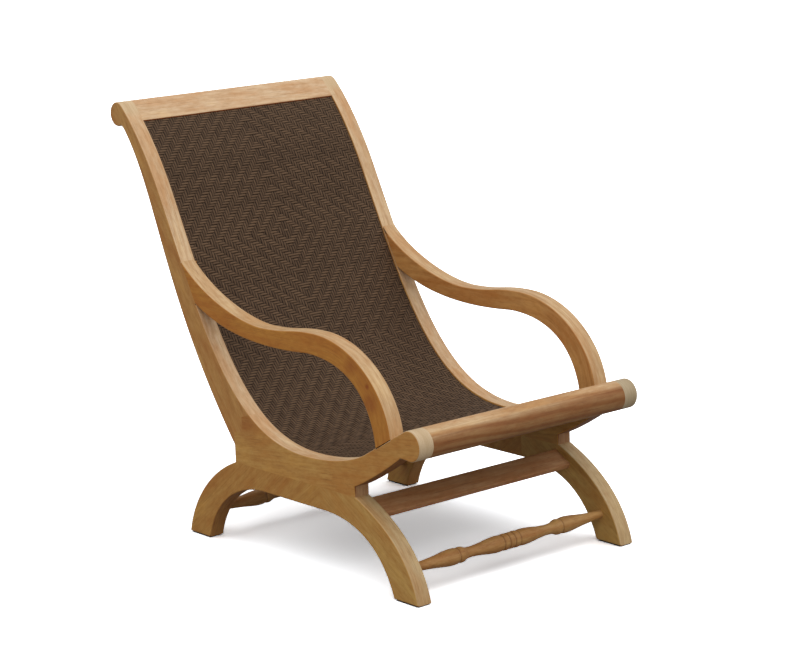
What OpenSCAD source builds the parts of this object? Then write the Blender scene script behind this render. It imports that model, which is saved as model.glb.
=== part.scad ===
/*
  Plantation lounge chair: two flat hardwood side frames (curved stile, swept
  seat rail, arched legs, S-curved arm) joined by a scrolled crest rail, a
  rounded nose roll, a board stretcher and two turned spindles. One woven
  panel runs from the crest to the nose roll on hidden battens.
  Faces -Y, +Z up, origin at the bottom centre, X = 0 the mirror plane, mm.
*/

/* [Overall] */

// Outside width across the two side frames
FRAME_WIDTH = 650; // [560:760]
// Thickness of the boards each side frame is sawn from
FRAME_THICK = 40; // [32:46]

/* [Scrolls] */

// Radius of the scroll at the top of the back
CREST_SCROLL_R = 29; // [26:31]
// Radius of the scroll at the front of the seat
NOSE_SCROLL_R = 34; // [32:35]

/* [Woven panel] */

// Depth of the woven face below the top faces of the side frames
WEAVE_RECESS = 3; // [1:6]
// Thickness of the woven panel
WEAVE_THICK = 6; // [4:8]
// Width of the hidden battens the panel is woven around
BATTEN_WIDTH = 18; // [12:24]
// Thickness of the hidden battens
BATTEN_THICK = 14; // [10:16]

/* [Stretchers] */

// Width of the flat stretcher board between the front legs
BOARD_WIDTH = 56; // [40:60]
// Thickness of the flat stretcher board
BOARD_THICK = 14; // [10:18]
// Forward tilt of the flat stretcher board, degrees
BOARD_TILT = 30; // [20:36]
// Greatest radius of the turned spindles
SPINDLE_R = 19; // [16:21]
// Radius of the round tenons on the spindle ends
TENON_R = 9.5; // [7:10]
// Depth the tenons go into the legs
TENON_DEPTH = 20; // [12:28]

/* [Feet] */

// Thickness of the pads under the feet
GLIDE_THICK = 3; // [2:6]
// Inset of each pad from the edges of its foot
GLIDE_INSET = 3; // [1:8]

/* [Hidden] */

HALF_W = FRAME_WIDTH / 2;
// Half of the clear width between the side frames
CLEAR_HALF = HALF_W - FRAME_THICK;
// Segments each curve of an outline is drawn with
CURVE_STEPS = 18;
// Radial clearance of a tenon in its bore
BORE_PLAY = 0.2;

// ---- Side profile: every point is [Y, Z] --------------------------------
// A curve is four control points: start, two handles, end.

CREST_CENTRE = [524, 989];
NOSE_CENTRE = [-519, 356];
// Direction in which the face leaves each scroll, degrees from +Y
CREST_SLOPE = 45;
NOSE_SLOPE = 28.4;
CREST_TANGENT = CREST_CENTRE + CREST_SCROLL_R * [-sin(CREST_SLOPE), cos(CREST_SLOPE)];
NOSE_TANGENT = NOSE_CENTRE + NOSE_SCROLL_R * [sin(NOSE_SLOPE), cos(NOSE_SLOPE)];

// Face of the back and the seat, from the top scroll down and forward
FACE_TOP = [CREST_TANGENT, [474, 981], [418, 919], [362, 805]];
FACE_BACK = [[362, 805], [245, 565], [174, 414], [52, 330]];
FACE_DIP = [[52, 330], [-40, 266], [-140, 271], [-165, 271]];
FACE_SEAT = [[-165, 271], [-197, 271], [-302, 277], [-367, 312]];
FACE = [FACE_TOP, FACE_BACK, FACE_DIP, FACE_SEAT];

// Notches where the scrolls meet the stile's back and the rail's underside
CREST_NOTCH = [500, 956];
NOSE_NOTCH = [-488, 324];
CREST_ARC_END = -118;
NOSE_ARC_END = 285;
STILE_BACK = [CREST_NOTCH, [377, 809], [373, 576], [115, 250]];
RAIL_UNDER = [NOSE_NOTCH, [-433, 286], [-374, 252], [-328, 232]];

// Levels of the rail's flat underside and of the crown of the leg arch
RAIL_FLAT_Z = 208;
CROWN_Z = 156;
// Upright steps where the legs start, and the seam between the two legs
REAR_STEP_Y = 115;
FRONT_STEP_Y = -328;
LEG_SEAM_Y = -200;

FRONT_LEG_FRONT = [[FRONT_STEP_Y, RAIL_FLAT_Z], [-434, 163], [-508, 97], [-529, 0]];
FRONT_LEG_ARCH = [[-449, 0], [-406, 128], [-298, CROWN_Z], [-210, CROWN_Z]];
REAR_LEG_ARCH = [[10, CROWN_Z], [72, CROWN_Z], [195, 131], [235, 0]];
REAR_LEG_BACK = [[314, 0], [296, 90], [215, 171], [REAR_STEP_Y, RAIL_FLAT_Z]];

// Stepped joint between stile and seat rail, back edge to face
JOINT_STEPS = [[112, 280], [80, 288], [82, 321]];

ARM_TOP = [[[292, 661], [204, 580], [58, 544], [-8, 544]],
    [[-8, 544], [-107, 544], [-113, 557], [-200, 557]],
    [[-200, 557], [-343, 557], [-452, 457], [-457, 352]]];
ARM_UNDER = [[[-405, 325], [-399, 391], [-364, 508], [-175, 508]],
    [[-175, 508], [-155, 508], [72, 480], [230, 559]]];
// Points inside the stile that close the arm's outline before it is trimmed
ARM_ROOT = [[246, 567], [300, 600], [302, 670]];

// Axes of the turned spindles
FRONT_SPINDLE_AXIS = [-463, 66];
REAR_SPINDLE_AXIS = [245, 66];
// Top front corner of the flat stretcher board
BOARD_CORNER = [-368, 169];

// Where along FACE_TOP the crest rail ends and the panel starts
CREST_T = 0.3;
// The same for the batten under the panel's top edge
BATTEN_T = 0.38;
// Distance from the nose tangent back to the panel's front end
NOSE_FLAT = 30;

// Turned profile from the middle outwards: [distance, radius], in mm at a
// half length of PROFILE_HALF and a greatest radius of PROFILE_R
PROFILE_HALF = 285;
PROFILE_R = 19;
PROFILE = [[0, 18.4], [6, 18.2], [8, 17.2], [10, 18.2], [16, 18.9], [22, 18.2], [24, 17.2],
    [27, 17.6], [40, 19], [58, 17.8], [72, 16.2], [80, 14.9], [94, 13.3], [108, 12.3],
    [120, 12.3], [130, 13.4], [137, 15.8], [140, 17.2], [147, 17.9], [152, 17.4], [155, 16.6],
    [158, 17.6], [166, 18.8], [176, 18.9], [190, 17.8], [205, 15.8], [225, 13.4], [245, 11.6],
    [265, 10.4], [285, 9.9]];

// ---- Curve helpers ------------------------------------------------------

function bez(c, t) =
    pow(1 - t, 3) * c[0] + 3 * pow(1 - t, 2) * t * c[1]
    + 3 * (1 - t) * t * t * c[2] + pow(t, 3) * c[3];
function bez_dir(c, t) =
    let (d = pow(1 - t, 2) * (c[1] - c[0]) + 2 * (1 - t) * t * (c[2] - c[1])
        + t * t * (c[3] - c[2])) d / norm(d);
// Points of a curve, moved back under the face by `deep`; the end is left off
function run(c, deep = 0, t0 = 0, t1 = 1, n = CURVE_STEPS) =
    [for (i = [0:n - 1]) let (t = t0 + (t1 - t0) * i / n, d = bez_dir(c, t))
        bez(c, t) + deep * [-d[1], d[0]]];
function arc(centre, r, a0, a1, n) =
    [for (i = [0:n]) let (a = a0 + (a1 - a0) * i / n) centre + r * [cos(a), sin(a)]];
function reversed(p) = [for (i = [len(p) - 1:-1:0]) p[i]];
function join(lists) = [for (l = lists, p = l) p];

// Direction of the straight face behind the nose, and its point `back` from it
NOSE_DIR = [-cos(NOSE_SLOPE), sin(NOSE_SLOPE)];
function nose_point(back, deep) =
    NOSE_TANGENT - back * NOSE_DIR + deep * [-NOSE_DIR[1], NOSE_DIR[0]];

// Face line from the crest rail to the nose roll, `deep` under the face
function panel_line(deep) = join([
    run(FACE_TOP, deep, CREST_T), run(FACE_BACK, deep), run(FACE_DIP, deep),
    run(FACE_SEAT, deep), [nose_point(NOSE_FLAT, deep)]]);

// Direction of the face where the crest rail ends, degrees from +Y
CREST_CUT = let (d = -bez_dir(FACE_TOP, CREST_T)) atan2(d[1], d[0]);

// ---- Flat outlines ------------------------------------------------------

module stile_outline()
    polygon(join([
        arc(CREST_CENTRE, CREST_SCROLL_R, 90 + CREST_SLOPE, CREST_ARC_END, 24),
        run(STILE_BACK), [[115, 250]], JOINT_STEPS,
        reversed(join([run(FACE_TOP), run(FACE_BACK), [FACE_DIP[0]]]))]));

module rail_outline()
    polygon(join([
        run(FACE_DIP), run(FACE_SEAT),
        arc(NOSE_CENTRE, NOSE_SCROLL_R, 90 - NOSE_SLOPE, NOSE_ARC_END, 24),
        run(RAIL_UNDER), [RAIL_UNDER[3], [FRONT_STEP_Y, RAIL_FLAT_Z],
            [REAR_STEP_Y, RAIL_FLAT_Z], [115, 250]],
        JOINT_STEPS]));

module above_glides() {
    difference() {
        children();
        translate([-FRAME_WIDTH, -GLIDE_THICK]) square([2 * FRAME_WIDTH, 2 * GLIDE_THICK]);
    }
}

module front_leg_outline()
    above_glides() polygon(join([
        run(FRONT_LEG_FRONT), [FRONT_LEG_FRONT[3]], run(FRONT_LEG_ARCH),
        [FRONT_LEG_ARCH[3], [LEG_SEAM_Y, CROWN_Z], [LEG_SEAM_Y, RAIL_FLAT_Z]]]));

module rear_leg_outline()
    above_glides() polygon(join([
        run(REAR_LEG_ARCH), [REAR_LEG_ARCH[3]], run(REAR_LEG_BACK),
        [REAR_LEG_BACK[3], [LEG_SEAM_Y, RAIL_FLAT_Z], [LEG_SEAM_Y, CROWN_Z]]]));

module arm_outline()
    difference() {
        polygon(join([
            run(ARM_TOP[0]), run(ARM_TOP[1]), run(ARM_TOP[2]), [ARM_TOP[2][3]],
            run(ARM_UNDER[0]), run(ARM_UNDER[1]), [ARM_UNDER[1][3]], ARM_ROOT]));
        stile_outline();
        rail_outline();
    }

// Part of the children beyond a cut at point p, on the side of direction `deg`
module beyond(p, deg) {
    intersection() {
        children();
        translate(p) rotate(deg) translate([0, -FRAME_WIDTH]) square([FRAME_WIDTH, 2 * FRAME_WIDTH]);
    }
}

// Strip under the face between two depths, over the whole panel
module panel_strip(near, far)
    polygon(join([panel_line(near), reversed(panel_line(far))]));

// ---- Solids -------------------------------------------------------------

// A flat outline given thickness across the chair, from x0 to x1
module board(x0, x1)
    translate([x0, 0, 0]) rotate([90, 0, 90]) linear_extrude(x1 - x0) children();

module side_board() board(-HALF_W, -CLEAR_HALF) children();
module cross_board() board(-CLEAR_HALF, CLEAR_HALF) children();
module on_right() mirror([1, 0, 0]) children();

// Blind bore for a spindle tenon, from the inner face of a left-hand leg
module tenon_bore(axis)
    translate([-CLEAR_HALF - TENON_DEPTH, axis[0], axis[1]]) rotate([0, 90, 0])
        cylinder(h = TENON_DEPTH + 1, r = TENON_R + BORE_PLAY, $fn = 32);

module stile() color("burlywood") side_board() stile_outline();
module rail() color("tan") side_board() rail_outline();
module arm() color("wheat") side_board() arm_outline();

module front_leg()
    color("burlywood") difference() {
        side_board() front_leg_outline();
        tenon_bore(FRONT_SPINDLE_AXIS);
    }

module rear_leg()
    color("peru") difference() {
        side_board() rear_leg_outline();
        tenon_bore(REAR_SPINDLE_AXIS);
    }

module crest()
    color("wheat") cross_board()
        beyond(bez(FACE_TOP, CREST_T), CREST_CUT) stile_outline();

module nose()
    color("wheat") cross_board()
        beyond(nose_point(NOSE_FLAT, 0), 180 - NOSE_SLOPE) rail_outline();

module stretcher()
    color("sienna") cross_board()
        translate(BOARD_CORNER) rotate(BOARD_TILT)
            translate([0, -BOARD_THICK]) square([BOARD_WIDTH, BOARD_THICK]);

module spindle(axis) {
    sx = CLEAR_HALF / PROFILE_HALF;
    sr = SPINDLE_R / PROFILE_R;
    half = [for (p = PROFILE) [p[1] * sr, p[0] * sx]];
    tenon = [[TENON_R, CLEAR_HALF], [TENON_R, CLEAR_HALF + TENON_DEPTH],
        [0, CLEAR_HALF + TENON_DEPTH]];
    outline = join([half, tenon]);
    color("peru") translate([0, axis[0], axis[1]]) rotate([0, 90, 0])
        rotate_extrude($fn = 32)
            polygon(join([[for (p = reversed(outline)) [p[0], -p[1]]],
                [for (i = [1:len(outline) - 1]) outline[i]]]));
}

PANEL_BACK = WEAVE_RECESS + WEAVE_THICK;
BATTEN_BACK = PANEL_BACK + BATTEN_THICK;

module panel()
    color("saddlebrown") cross_board() panel_strip(WEAVE_RECESS, PANEL_BACK);

module side_batten()
    color("dimgray") board(-CLEAR_HALF, BATTEN_WIDTH - CLEAR_HALF)
        panel_strip(PANEL_BACK, BATTEN_BACK);

module between_battens()
    board(BATTEN_WIDTH - CLEAR_HALF, CLEAR_HALF - BATTEN_WIDTH) children();

module top_batten_bar()
    color("dimgray") between_battens() polygon(join([
        run(FACE_TOP, PANEL_BACK, CREST_T, BATTEN_T, 2),
        reversed(run(FACE_TOP, BATTEN_BACK, CREST_T, BATTEN_T, 2))]));

module front_batten_bar()
    color("dimgray") between_battens() polygon([
        nose_point(NOSE_FLAT, PANEL_BACK), nose_point(NOSE_FLAT, BATTEN_BACK),
        nose_point(NOSE_FLAT + BATTEN_WIDTH, BATTEN_BACK),
        nose_point(NOSE_FLAT + BATTEN_WIDTH, PANEL_BACK)]);

// Pad under a left-hand foot that reaches from y0 to y1
module glide(y0, y1)
    color("black") translate([-HALF_W + GLIDE_INSET, y0 + GLIDE_INSET, 0])
        cube([FRAME_THICK - 2 * GLIDE_INSET, y1 - y0 - 2 * GLIDE_INSET, GLIDE_THICK]);

module front_glide() glide(FRONT_LEG_FRONT[3][0], FRONT_LEG_ARCH[0][0]);
module rear_glide() glide(REAR_LEG_ARCH[3][0], REAR_LEG_BACK[0][0]);

stile();  // back_stile_left
on_right() stile();  // back_stile_right
rail();  // seat_rail_left
on_right() rail();  // seat_rail_right
rear_leg();  // rear_leg_left
on_right() rear_leg();  // rear_leg_right
front_leg();  // front_leg_left
on_right() front_leg();  // front_leg_right
arm();  // arm_left
on_right() arm();  // arm_right
crest();  // crest_rail
nose();  // nose_roll
stretcher();  // flat_stretcher
spindle(FRONT_SPINDLE_AXIS);  // front_spindle
spindle(REAR_SPINDLE_AXIS);  // rear_spindle
panel();  // woven_panel
side_batten();  // side_batten_left
on_right() side_batten();  // side_batten_right
top_batten_bar();  // top_batten
front_batten_bar();  // front_batten
front_glide();  // glide_front_left
on_right() front_glide();  // glide_front_right
rear_glide();  // glide_rear_left
on_right() rear_glide();  // glide_rear_right
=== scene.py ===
"""Plantation lounge chair: teak side frames, rails and turned spindles round a woven panel.

Metres, in the same frame as the CAD: the chair faces -Y, +Z up, X = 0 is its mirror plane.
Outlines are worked in millimetres in the plane of a side frame, as [y, z], and turned to
metres when a mesh is made.
"""
import math

import bpy
import numpy as np
from mathutils import Matrix


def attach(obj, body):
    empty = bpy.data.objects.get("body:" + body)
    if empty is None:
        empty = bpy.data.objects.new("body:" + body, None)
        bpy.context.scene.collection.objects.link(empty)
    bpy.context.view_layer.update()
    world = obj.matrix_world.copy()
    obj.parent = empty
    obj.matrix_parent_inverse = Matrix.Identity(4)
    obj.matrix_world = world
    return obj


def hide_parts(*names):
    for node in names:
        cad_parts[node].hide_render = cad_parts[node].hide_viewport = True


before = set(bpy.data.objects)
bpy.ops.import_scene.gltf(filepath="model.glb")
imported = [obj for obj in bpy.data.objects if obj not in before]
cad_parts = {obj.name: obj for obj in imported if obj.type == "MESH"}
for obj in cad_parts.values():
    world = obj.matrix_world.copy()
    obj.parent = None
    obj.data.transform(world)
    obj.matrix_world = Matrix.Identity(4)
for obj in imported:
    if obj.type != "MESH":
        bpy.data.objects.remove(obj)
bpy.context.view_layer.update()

MM = 0.001
HALF_WIDTH = 325.0
INNER_HALF = 285.0
FINE = 44  # points on a curve, where nothing else is said


def unit(vectors):
    """The vectors along the last axis, at length 1."""
    return vectors / np.linalg.norm(vectors, axis=-1, keepdims=True)


def new_object(name, data):
    """An object of the data, put into the scene."""
    made = bpy.data.objects.new(name, data)
    bpy.context.scene.collection.objects.link(made)
    return made


def placement(right, up, back, spot):
    """Matrix that turns an object's own axes to the three directions and moves it to a spot."""
    columns_of_four = np.stack([right, up, back, spot], axis=1)
    return Matrix([*columns_of_four.tolist(), (0, 0, 0, 1)])


# ---- Camera --------------------------------------------------------------------------

VIEW_AZIMUTH = math.radians(-39.4597)
VIEW_HEIGHT = math.radians(11.9175)
VIEW_ROLL = math.radians(-2.1965)
VIEW_FROM = (-3.6081, -4.4928, 1.7029)
FOCAL_LENGTH = 113.162


def view_axes():
    """Right, up and back directions of a camera that looks down by VIEW_HEIGHT from the
    side VIEW_AZIMUTH, then turned about its own line of sight by VIEW_ROLL."""
    back = np.array([math.sin(VIEW_AZIMUTH) * math.cos(VIEW_HEIGHT),
                     -math.cos(VIEW_AZIMUTH) * math.cos(VIEW_HEIGHT), math.sin(VIEW_HEIGHT)])
    level = unit(np.cross(-back, [0.0, 0.0, 1.0]))
    upright = np.cross(level, -back)
    turn, lift = math.cos(VIEW_ROLL), math.sin(VIEW_ROLL)
    return turn * level + lift * upright, -lift * level + turn * upright, back


camera_data = bpy.data.cameras.new("camera")
camera_data.sensor_fit = "HORIZONTAL"
camera_data.sensor_width = 36.0
camera_data.lens = FOCAL_LENGTH
camera_data.clip_end = 200.0
camera = new_object("camera", camera_data)
camera.matrix_world = placement(*view_axes(), VIEW_FROM)
bpy.context.scene.camera = camera

# ---- Side profile, [y, z] in mm ------------------------------------------------------
# A curve is four control points: start, two handles, end.

CREST_CENTRE, CREST_R = np.array([524.0, 989.0]), 29.0
NOSE_CENTRE, NOSE_R = np.array([-519.0, 356.0]), 34.0
NOSE_SLOPE = math.radians(28.4)
CREST_TANGENT = CREST_CENTRE + CREST_R * np.array([-math.sqrt(0.5), math.sqrt(0.5)])
NOSE_TANGENT = NOSE_CENTRE + NOSE_R * np.array([math.sin(NOSE_SLOPE), math.cos(NOSE_SLOPE)])
NOSE_DIR = np.array([-math.cos(NOSE_SLOPE), math.sin(NOSE_SLOPE)])
NOSE_FLAT = 30.0

FACE_TOP = [CREST_TANGENT, [474, 981], [418, 919], [362, 805]]
FACE_BACK = [[362, 805], [245, 565], [174, 414], [52, 330]]
FACE_DIP = [[52, 330], [-40, 266], [-140, 271], [-165, 271]]
FACE_SEAT = [[-165, 271], [-197, 271], [-302, 277], [-367, 312]]
CREST_T = 0.3  # share of FACE_TOP that the crest rail takes
BATTEN_T = 0.38  # share of FACE_TOP where the batten behind the crest ends
STILE_BACK = [[500, 956], [377, 809], [373, 576], [115, 250]]
RAIL_UNDER = [[-488, 324], [-433, 286], [-374, 252], [-328, 232]]
JOINT_STEPS = [[115, 250], [112, 280], [80, 288], [82, 321], [52, 330]]
FRONT_LEG_FRONT = [[-328, 208], [-434, 163], [-508, 97], [-529, 0]]
FRONT_LEG_ARCH = [[-449, 0], [-406, 128], [-298, 156], [-210, 156]]
REAR_LEG_ARCH = [[10, 156], [72, 156], [195, 131], [235, 0]]
REAR_LEG_BACK = [[314, 0], [296, 90], [215, 171], [115, 208]]
ARM_TOP = [[[292, 661], [204, 580], [58, 544], [-8, 544]],
           [[-8, 544], [-107, 544], [-113, 557], [-200, 557]],
           [[-200, 557], [-343, 557], [-452, 457], [-457, 352]]]
ARM_UNDER = [[[-405, 325], [-399, 391], [-364, 508], [-175, 508]],
             [[-175, 508], [-155, 508], [72, 480], [230, 559]]]
ARM_BEND = (-230.0, 340.0, 190.0)  # centre of the arm's front bend and its radius
SPINDLES_AT = {"front": (-463.0, 66.0), "rear": (245.0, 66.0)}
STRETCHER_THICK, STRETCHER_WIDTH = 14.0, 56.0
STRETCHER_CORNER = np.array([-368.0, 169.0])
STRETCHER_TURN = math.radians(30)
GLIDE = 3.0  # thickness of a foot pad


def curve(points, count=FINE, start=0.0, stop=1.0):
    """Cubic curve: the four points weighed by (1-t)^3, 3(1-t)^2 t, 3(1-t) t^2 and t^3."""
    t = np.linspace(start, stop, count)[:, None]
    a, b, c, d = np.array(points, float)
    return (1 - t) ** 3 * a + 3 * (1 - t) ** 2 * t * b + 3 * (1 - t) * t * t * c + t ** 3 * d


def arc(centre, radius, first, last, count):
    """Points at `radius` from the centre, their angle running evenly in degrees."""
    a = np.radians(np.linspace(first, last, count))[:, None]
    return np.array(centre, float) + radius * np.concatenate([np.cos(a), np.sin(a)], axis=1)


def kept(line, beyond):
    """The part of a line of points where `beyond` is below zero; its ends lie where beyond
    crosses zero, found by proportion between neighbouring points."""
    share = beyond[:-1] / (beyond[:-1] - beyond[1:] + 1e-12)
    crossing = beyond[:-1] * beyond[1:] < 0
    spot = np.flatnonzero(crossing) + share[crossing]
    cut_points = line[:-1][crossing] + share[crossing][:, None] * np.diff(line, axis=0)[crossing]
    order = np.argsort(np.concatenate([np.flatnonzero(beyond < 0), spot]))
    return np.concatenate([line[beyond < 0], cut_points])[order]


def outline(*runs):
    """Closed outline from runs of (points, eased outside, eased inside); each run's last
    point is the next one's first. Returns the points, anticlockwise, with two marks for
    the segment that leaves each point."""
    points = np.concatenate([np.array(r[0], float)[:-1] for r in runs])
    marks = np.concatenate([np.tile([float(r[1]), float(r[2])], (len(r[0]) - 1, 1)) for r in runs])
    apart = np.linalg.norm(np.roll(points, -1, axis=0) - points, axis=1) > 0.05
    points, marks = points[apart], marks[apart]
    after = np.roll(points, -1, axis=0)
    if np.sum(points[:, 0] * after[:, 1] - points[:, 1] * after[:, 0]) < 0:
        points, marks = points[::-1], np.roll(marks[::-1], -1, axis=0)
    return points, marks


# ---- Meshes --------------------------------------------------------------------------

SHARP_BEND = math.radians(24)  # corners of an outline that turn more than this stay sharp


def placed(name, mesh, material, replaced):
    """The mesh as a smooth object that rides on the chair in place of a CAD node."""
    mesh.polygons.foreach_set("use_smooth", np.full(len(mesh.polygons), True))
    mesh.materials.append(material)
    piece = new_object(name, mesh)
    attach(piece, "root")
    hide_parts(replaced)
    return piece


def add_piece(name, rings, material):
    """Closed skin over rings of points in mm, (rings, points, 3): a wall from each ring to
    the next and a cap at both ends. It takes the place of the CAD node of its name."""
    count, sides = rings.shape[:2]
    k = np.arange(sides)
    after = (k + 1) % sides
    wall = np.stack([k, after, after + sides, k + sides], axis=1)
    caps = [k[::-1].tolist(), (k + (count - 1) * sides).tolist()]
    walls = np.concatenate([wall + i * sides for i in range(count - 1)]).tolist()
    mesh = bpy.data.meshes.new(name)
    mesh.from_pydata((rings.reshape(-1, 3) * MM).tolist(), [], caps + walls)
    return placed(name, mesh, material, name)


def board(name, shape, x_out, x_in, ease, material):
    """A flat outline carried straight across the chair from x_out to x_in (mm): two flat
    faces and one wall. Edges marked in the outline are rounded to the radius `ease`."""
    points, marks = shape
    n = len(points)
    rings = np.array([np.insert(points, 0, x, axis=1) for x in sorted((x_out, x_in))])
    piece = add_piece(name, rings, material)
    mesh = piece.data
    pairs = np.empty(2 * len(mesh.edges), dtype=np.int32)
    mesh.edges.foreach_get("vertices", pairs)
    pairs = pairs.reshape(-1, 2)
    first, second = pairs.min(axis=1), pairs.max(axis=1)
    on_face = (first >= n) == (second >= n)
    closing = second - first == n - 1
    segment = np.where(closing, second, first) % n
    outer_is_low = x_out < x_in
    outer = (first < n) == outer_is_low
    eased = np.where(outer, marks[segment, 0], marks[segment, 1]) * on_face
    step = np.roll(points, -1, axis=0) - points
    heading = np.arctan2(step[:, 1], step[:, 0])
    bend = np.abs((heading - np.roll(heading, 1) + np.pi) % (2 * np.pi) - np.pi)
    sharp = np.where(on_face, eased < 0.5, bend[first % n] > SHARP_BEND)
    weight = mesh.attributes.new("bevel_weight_edge", "FLOAT", "EDGE")
    weight.data.foreach_set("value", eased.astype(np.float32))
    mesh.attributes.new("sharp_edge", "BOOLEAN", "EDGE").data.foreach_set("value", sharp)
    if ease:
        rounding = piece.modifiers.new("eased edges", "BEVEL")
        rounding.width = ease * MM
        rounding.segments = 3
        rounding.limit_method = "WEIGHT"
        rounding.use_clamp_overlap = False
        rounding.harden_normals = True


def soften(points, corner, reach, count=6):
    """Closed outline with one corner rounded: points nearer to it than `reach` give way to a
    quadratic curve that leaves along one side, bends at the corner and joins the other."""
    points = np.asarray(points, float)
    corner = np.array(corner, float)
    away = np.linalg.norm(points - corner, axis=1)
    first = np.flatnonzero((away >= reach) & (np.roll(away, -1) < reach))[0]
    points = np.roll(points, -(first + 1), axis=0)
    points = points[np.linalg.norm(points - corner, axis=1) >= reach]
    start, stop = corner + reach * unit(points[[-1, 0]] - corner)
    t = np.linspace(0, 1, count)[:, None]
    return np.concatenate([points, (1 - t) ** 2 * start + 2 * (1 - t) * t * corner + t * t * stop])


# Distance from the middle and radius of a spindle, and the distances of its cut rings
SPINDLE = np.array([
    [0, 18.4], [6, 18.1], [8, 16.4], [10, 18.1], [16, 19.1], [22, 18.1], [24, 16.6],
    [27, 17.8], [40, 19], [58, 17.8], [72, 16.2], [80, 14.9], [94, 13.3], [108, 12.3],
    [120, 12.3], [130, 13.4], [137, 15.8], [140, 17.2], [147, 18.2], [152, 17.5],
    [155, 15.9], [158, 17.6], [166, 18.8], [176, 18.9], [190, 17.8], [205, 15.8],
    [225, 13.4], [245, 11.6], [265, 10.4], [285, 9.9], [289, 9.8]])
SPINDLE_RINGS = (8, 24, 155)
SPINDLE_SIDES = 40


def turned(name, axis, material):
    """A turned piece: its radius is a smooth function of the distance along X, the same on
    both sides of the middle, and each point goes round the axis at that radius. Between
    two rows of the profile the radius is a cubic that has their radii and slopes."""
    stops, radii = SPINDLE.T
    slope = np.gradient(radii, stops)
    slope[np.isin(stops, SPINDLE_RINGS)] = 0.0
    spread = np.linspace(0, 1, 6)[:-1]
    width = np.diff(stops)
    at = np.append((stops[:-1, None] + spread * width[:, None]).ravel(), stops[-1])
    cell = np.minimum(np.searchsorted(stops, at, side="right") - 1, len(width) - 1)
    t = (at - stops[cell]) / width[cell]
    r0, r1 = radii[cell], radii[cell + 1]
    s0, s1 = slope[cell] * width[cell], slope[cell + 1] * width[cell]
    radius = ((2 * t ** 3 - 3 * t ** 2 + 1) * r0 + (t ** 3 - 2 * t ** 2 + t) * s0
              + (3 * t ** 2 - 2 * t ** 3) * r1 + (t ** 3 - t ** 2) * s1)
    x = np.concatenate([-at[::-1], at[1:]])[:, None]
    r = np.concatenate([radius[::-1], radius[1:]])[:, None]
    angle = np.arange(SPINDLE_SIDES) * 2 * np.pi / SPINDLE_SIDES
    parts = (x + 0 * angle, axis[0] + r * np.cos(angle), axis[1] + r * np.sin(angle))
    add_piece(name, np.stack(parts, axis=-1), material)


# ---- Shader pieces -------------------------------------------------------------------


class Wiring:
    """Short hand for adding and joining nodes in one tree. Where a value is an output of
    another node it is linked; a plain value is set on the node's own input."""

    def __init__(self, tree):
        self.tree = tree

    def node(self, kind, inputs=(), **settings):
        """A new node with its settings and its inputs, by number or by name."""
        made = self.tree.nodes.new(kind)
        for key, value in settings.items():
            setattr(made, key, value)
        for key, value in dict(inputs).items():
            if isinstance(value, bpy.types.NodeSocket):
                self.tree.links.new(value, made.inputs[key])
            else:
                made.inputs[key].default_value = value
        return made

    def math(self, operation, *values):
        """One sum on one or two values."""
        return self.node("ShaderNodeMath", enumerate(values), operation=operation).outputs[0]

    def times(self, a, b):
        """Product of two values."""
        return self.math("MULTIPLY", a, b)

    def vector(self, operation, *values, output="Vector"):
        """One sum on one or two vectors."""
        return self.node("ShaderNodeVectorMath", enumerate(values), operation=operation).outputs[output]

    def parts(self, vector):
        """The X, Y and Z of a vector."""
        return self.node("ShaderNodeSeparateXYZ", {0: vector}).outputs

    def mix(self, share, a, b, blend="MIX"):
        """Colour a turned towards colour b by a share."""
        return self.node("ShaderNodeMix", {0: share, 6: a, 7: b}, data_type="RGBA",
                         blend_type=blend).outputs[2]

    def shaded(self, share, colour, base, factor):
        """The colour turned by a share towards the base colour times a factor colour."""
        return self.mix(share, colour, self.mix(1.0, base, factor, "MULTIPLY"))

    def span(self, value, low, high, to_low=0.0, to_high=1.0):
        """The value's run from low to high carried to the run from to_low to to_high."""
        return self.node("ShaderNodeMapRange", {"Value": value, "From Min": low, "From Max": high,
                                                "To Min": to_low, "To Max": to_high}).outputs[0]

    def noise(self, vector, scale, detail=2.0, roughness=0.5):
        """Soft noise from 0 to 1."""
        return self.node("ShaderNodeTexNoise", {"Vector": vector, "Scale": scale, "Detail": detail,
                                                "Roughness": roughness}).outputs[0]

    def stretched(self, vector, scale, location=(0, 0, 0), rotation=(0, 0, 0)):
        """The vector scaled, turned and moved."""
        return self.node("ShaderNodeMapping", {"Vector": vector, "Scale": scale,
                                               "Location": location,
                                               "Rotation": rotation}).outputs[0]

    def bump(self, height, strength, distance):
        """Normal bent by a height."""
        return self.node("ShaderNodeBump", {"Height": height, "Strength": strength,
                                            "Distance": distance}).outputs[0]

    def surface(self, inputs):
        """The shader of a material, joined to its output."""
        output = self.node("ShaderNodeOutputMaterial")
        shader = self.node("ShaderNodeBsdfPrincipled", inputs)
        self.tree.links.new(shader.outputs[0], output.inputs[0])


def new_material(name):
    """An empty material and the wiring of its nodes."""
    material = bpy.data.materials.new(name)
    material.use_nodes = True
    material.node_tree.nodes.clear()
    return material, Wiring(material.node_tree)


def rgb(red, green, blue):
    """Colour given as seen on a screen, 0 to 255, turned to the linear values shaders use:
    c / 12.92 below 0.04045, else ((c + 0.055) / 1.055) to the power 2.4."""
    c = np.array([red, green, blue]) / 255.0
    linear = np.where(c <= 0.04045, c / 12.92, ((c + 0.055) / 1.055) ** 2.4)
    return (*map(float, linear), 1.0)


# Distances from a board to the heart of its tree, in metres, and radians of ring a metre
HEART_SIDE, HEART_DEPTH = 0.19, 0.12
RING_RATE = 330.0


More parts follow.
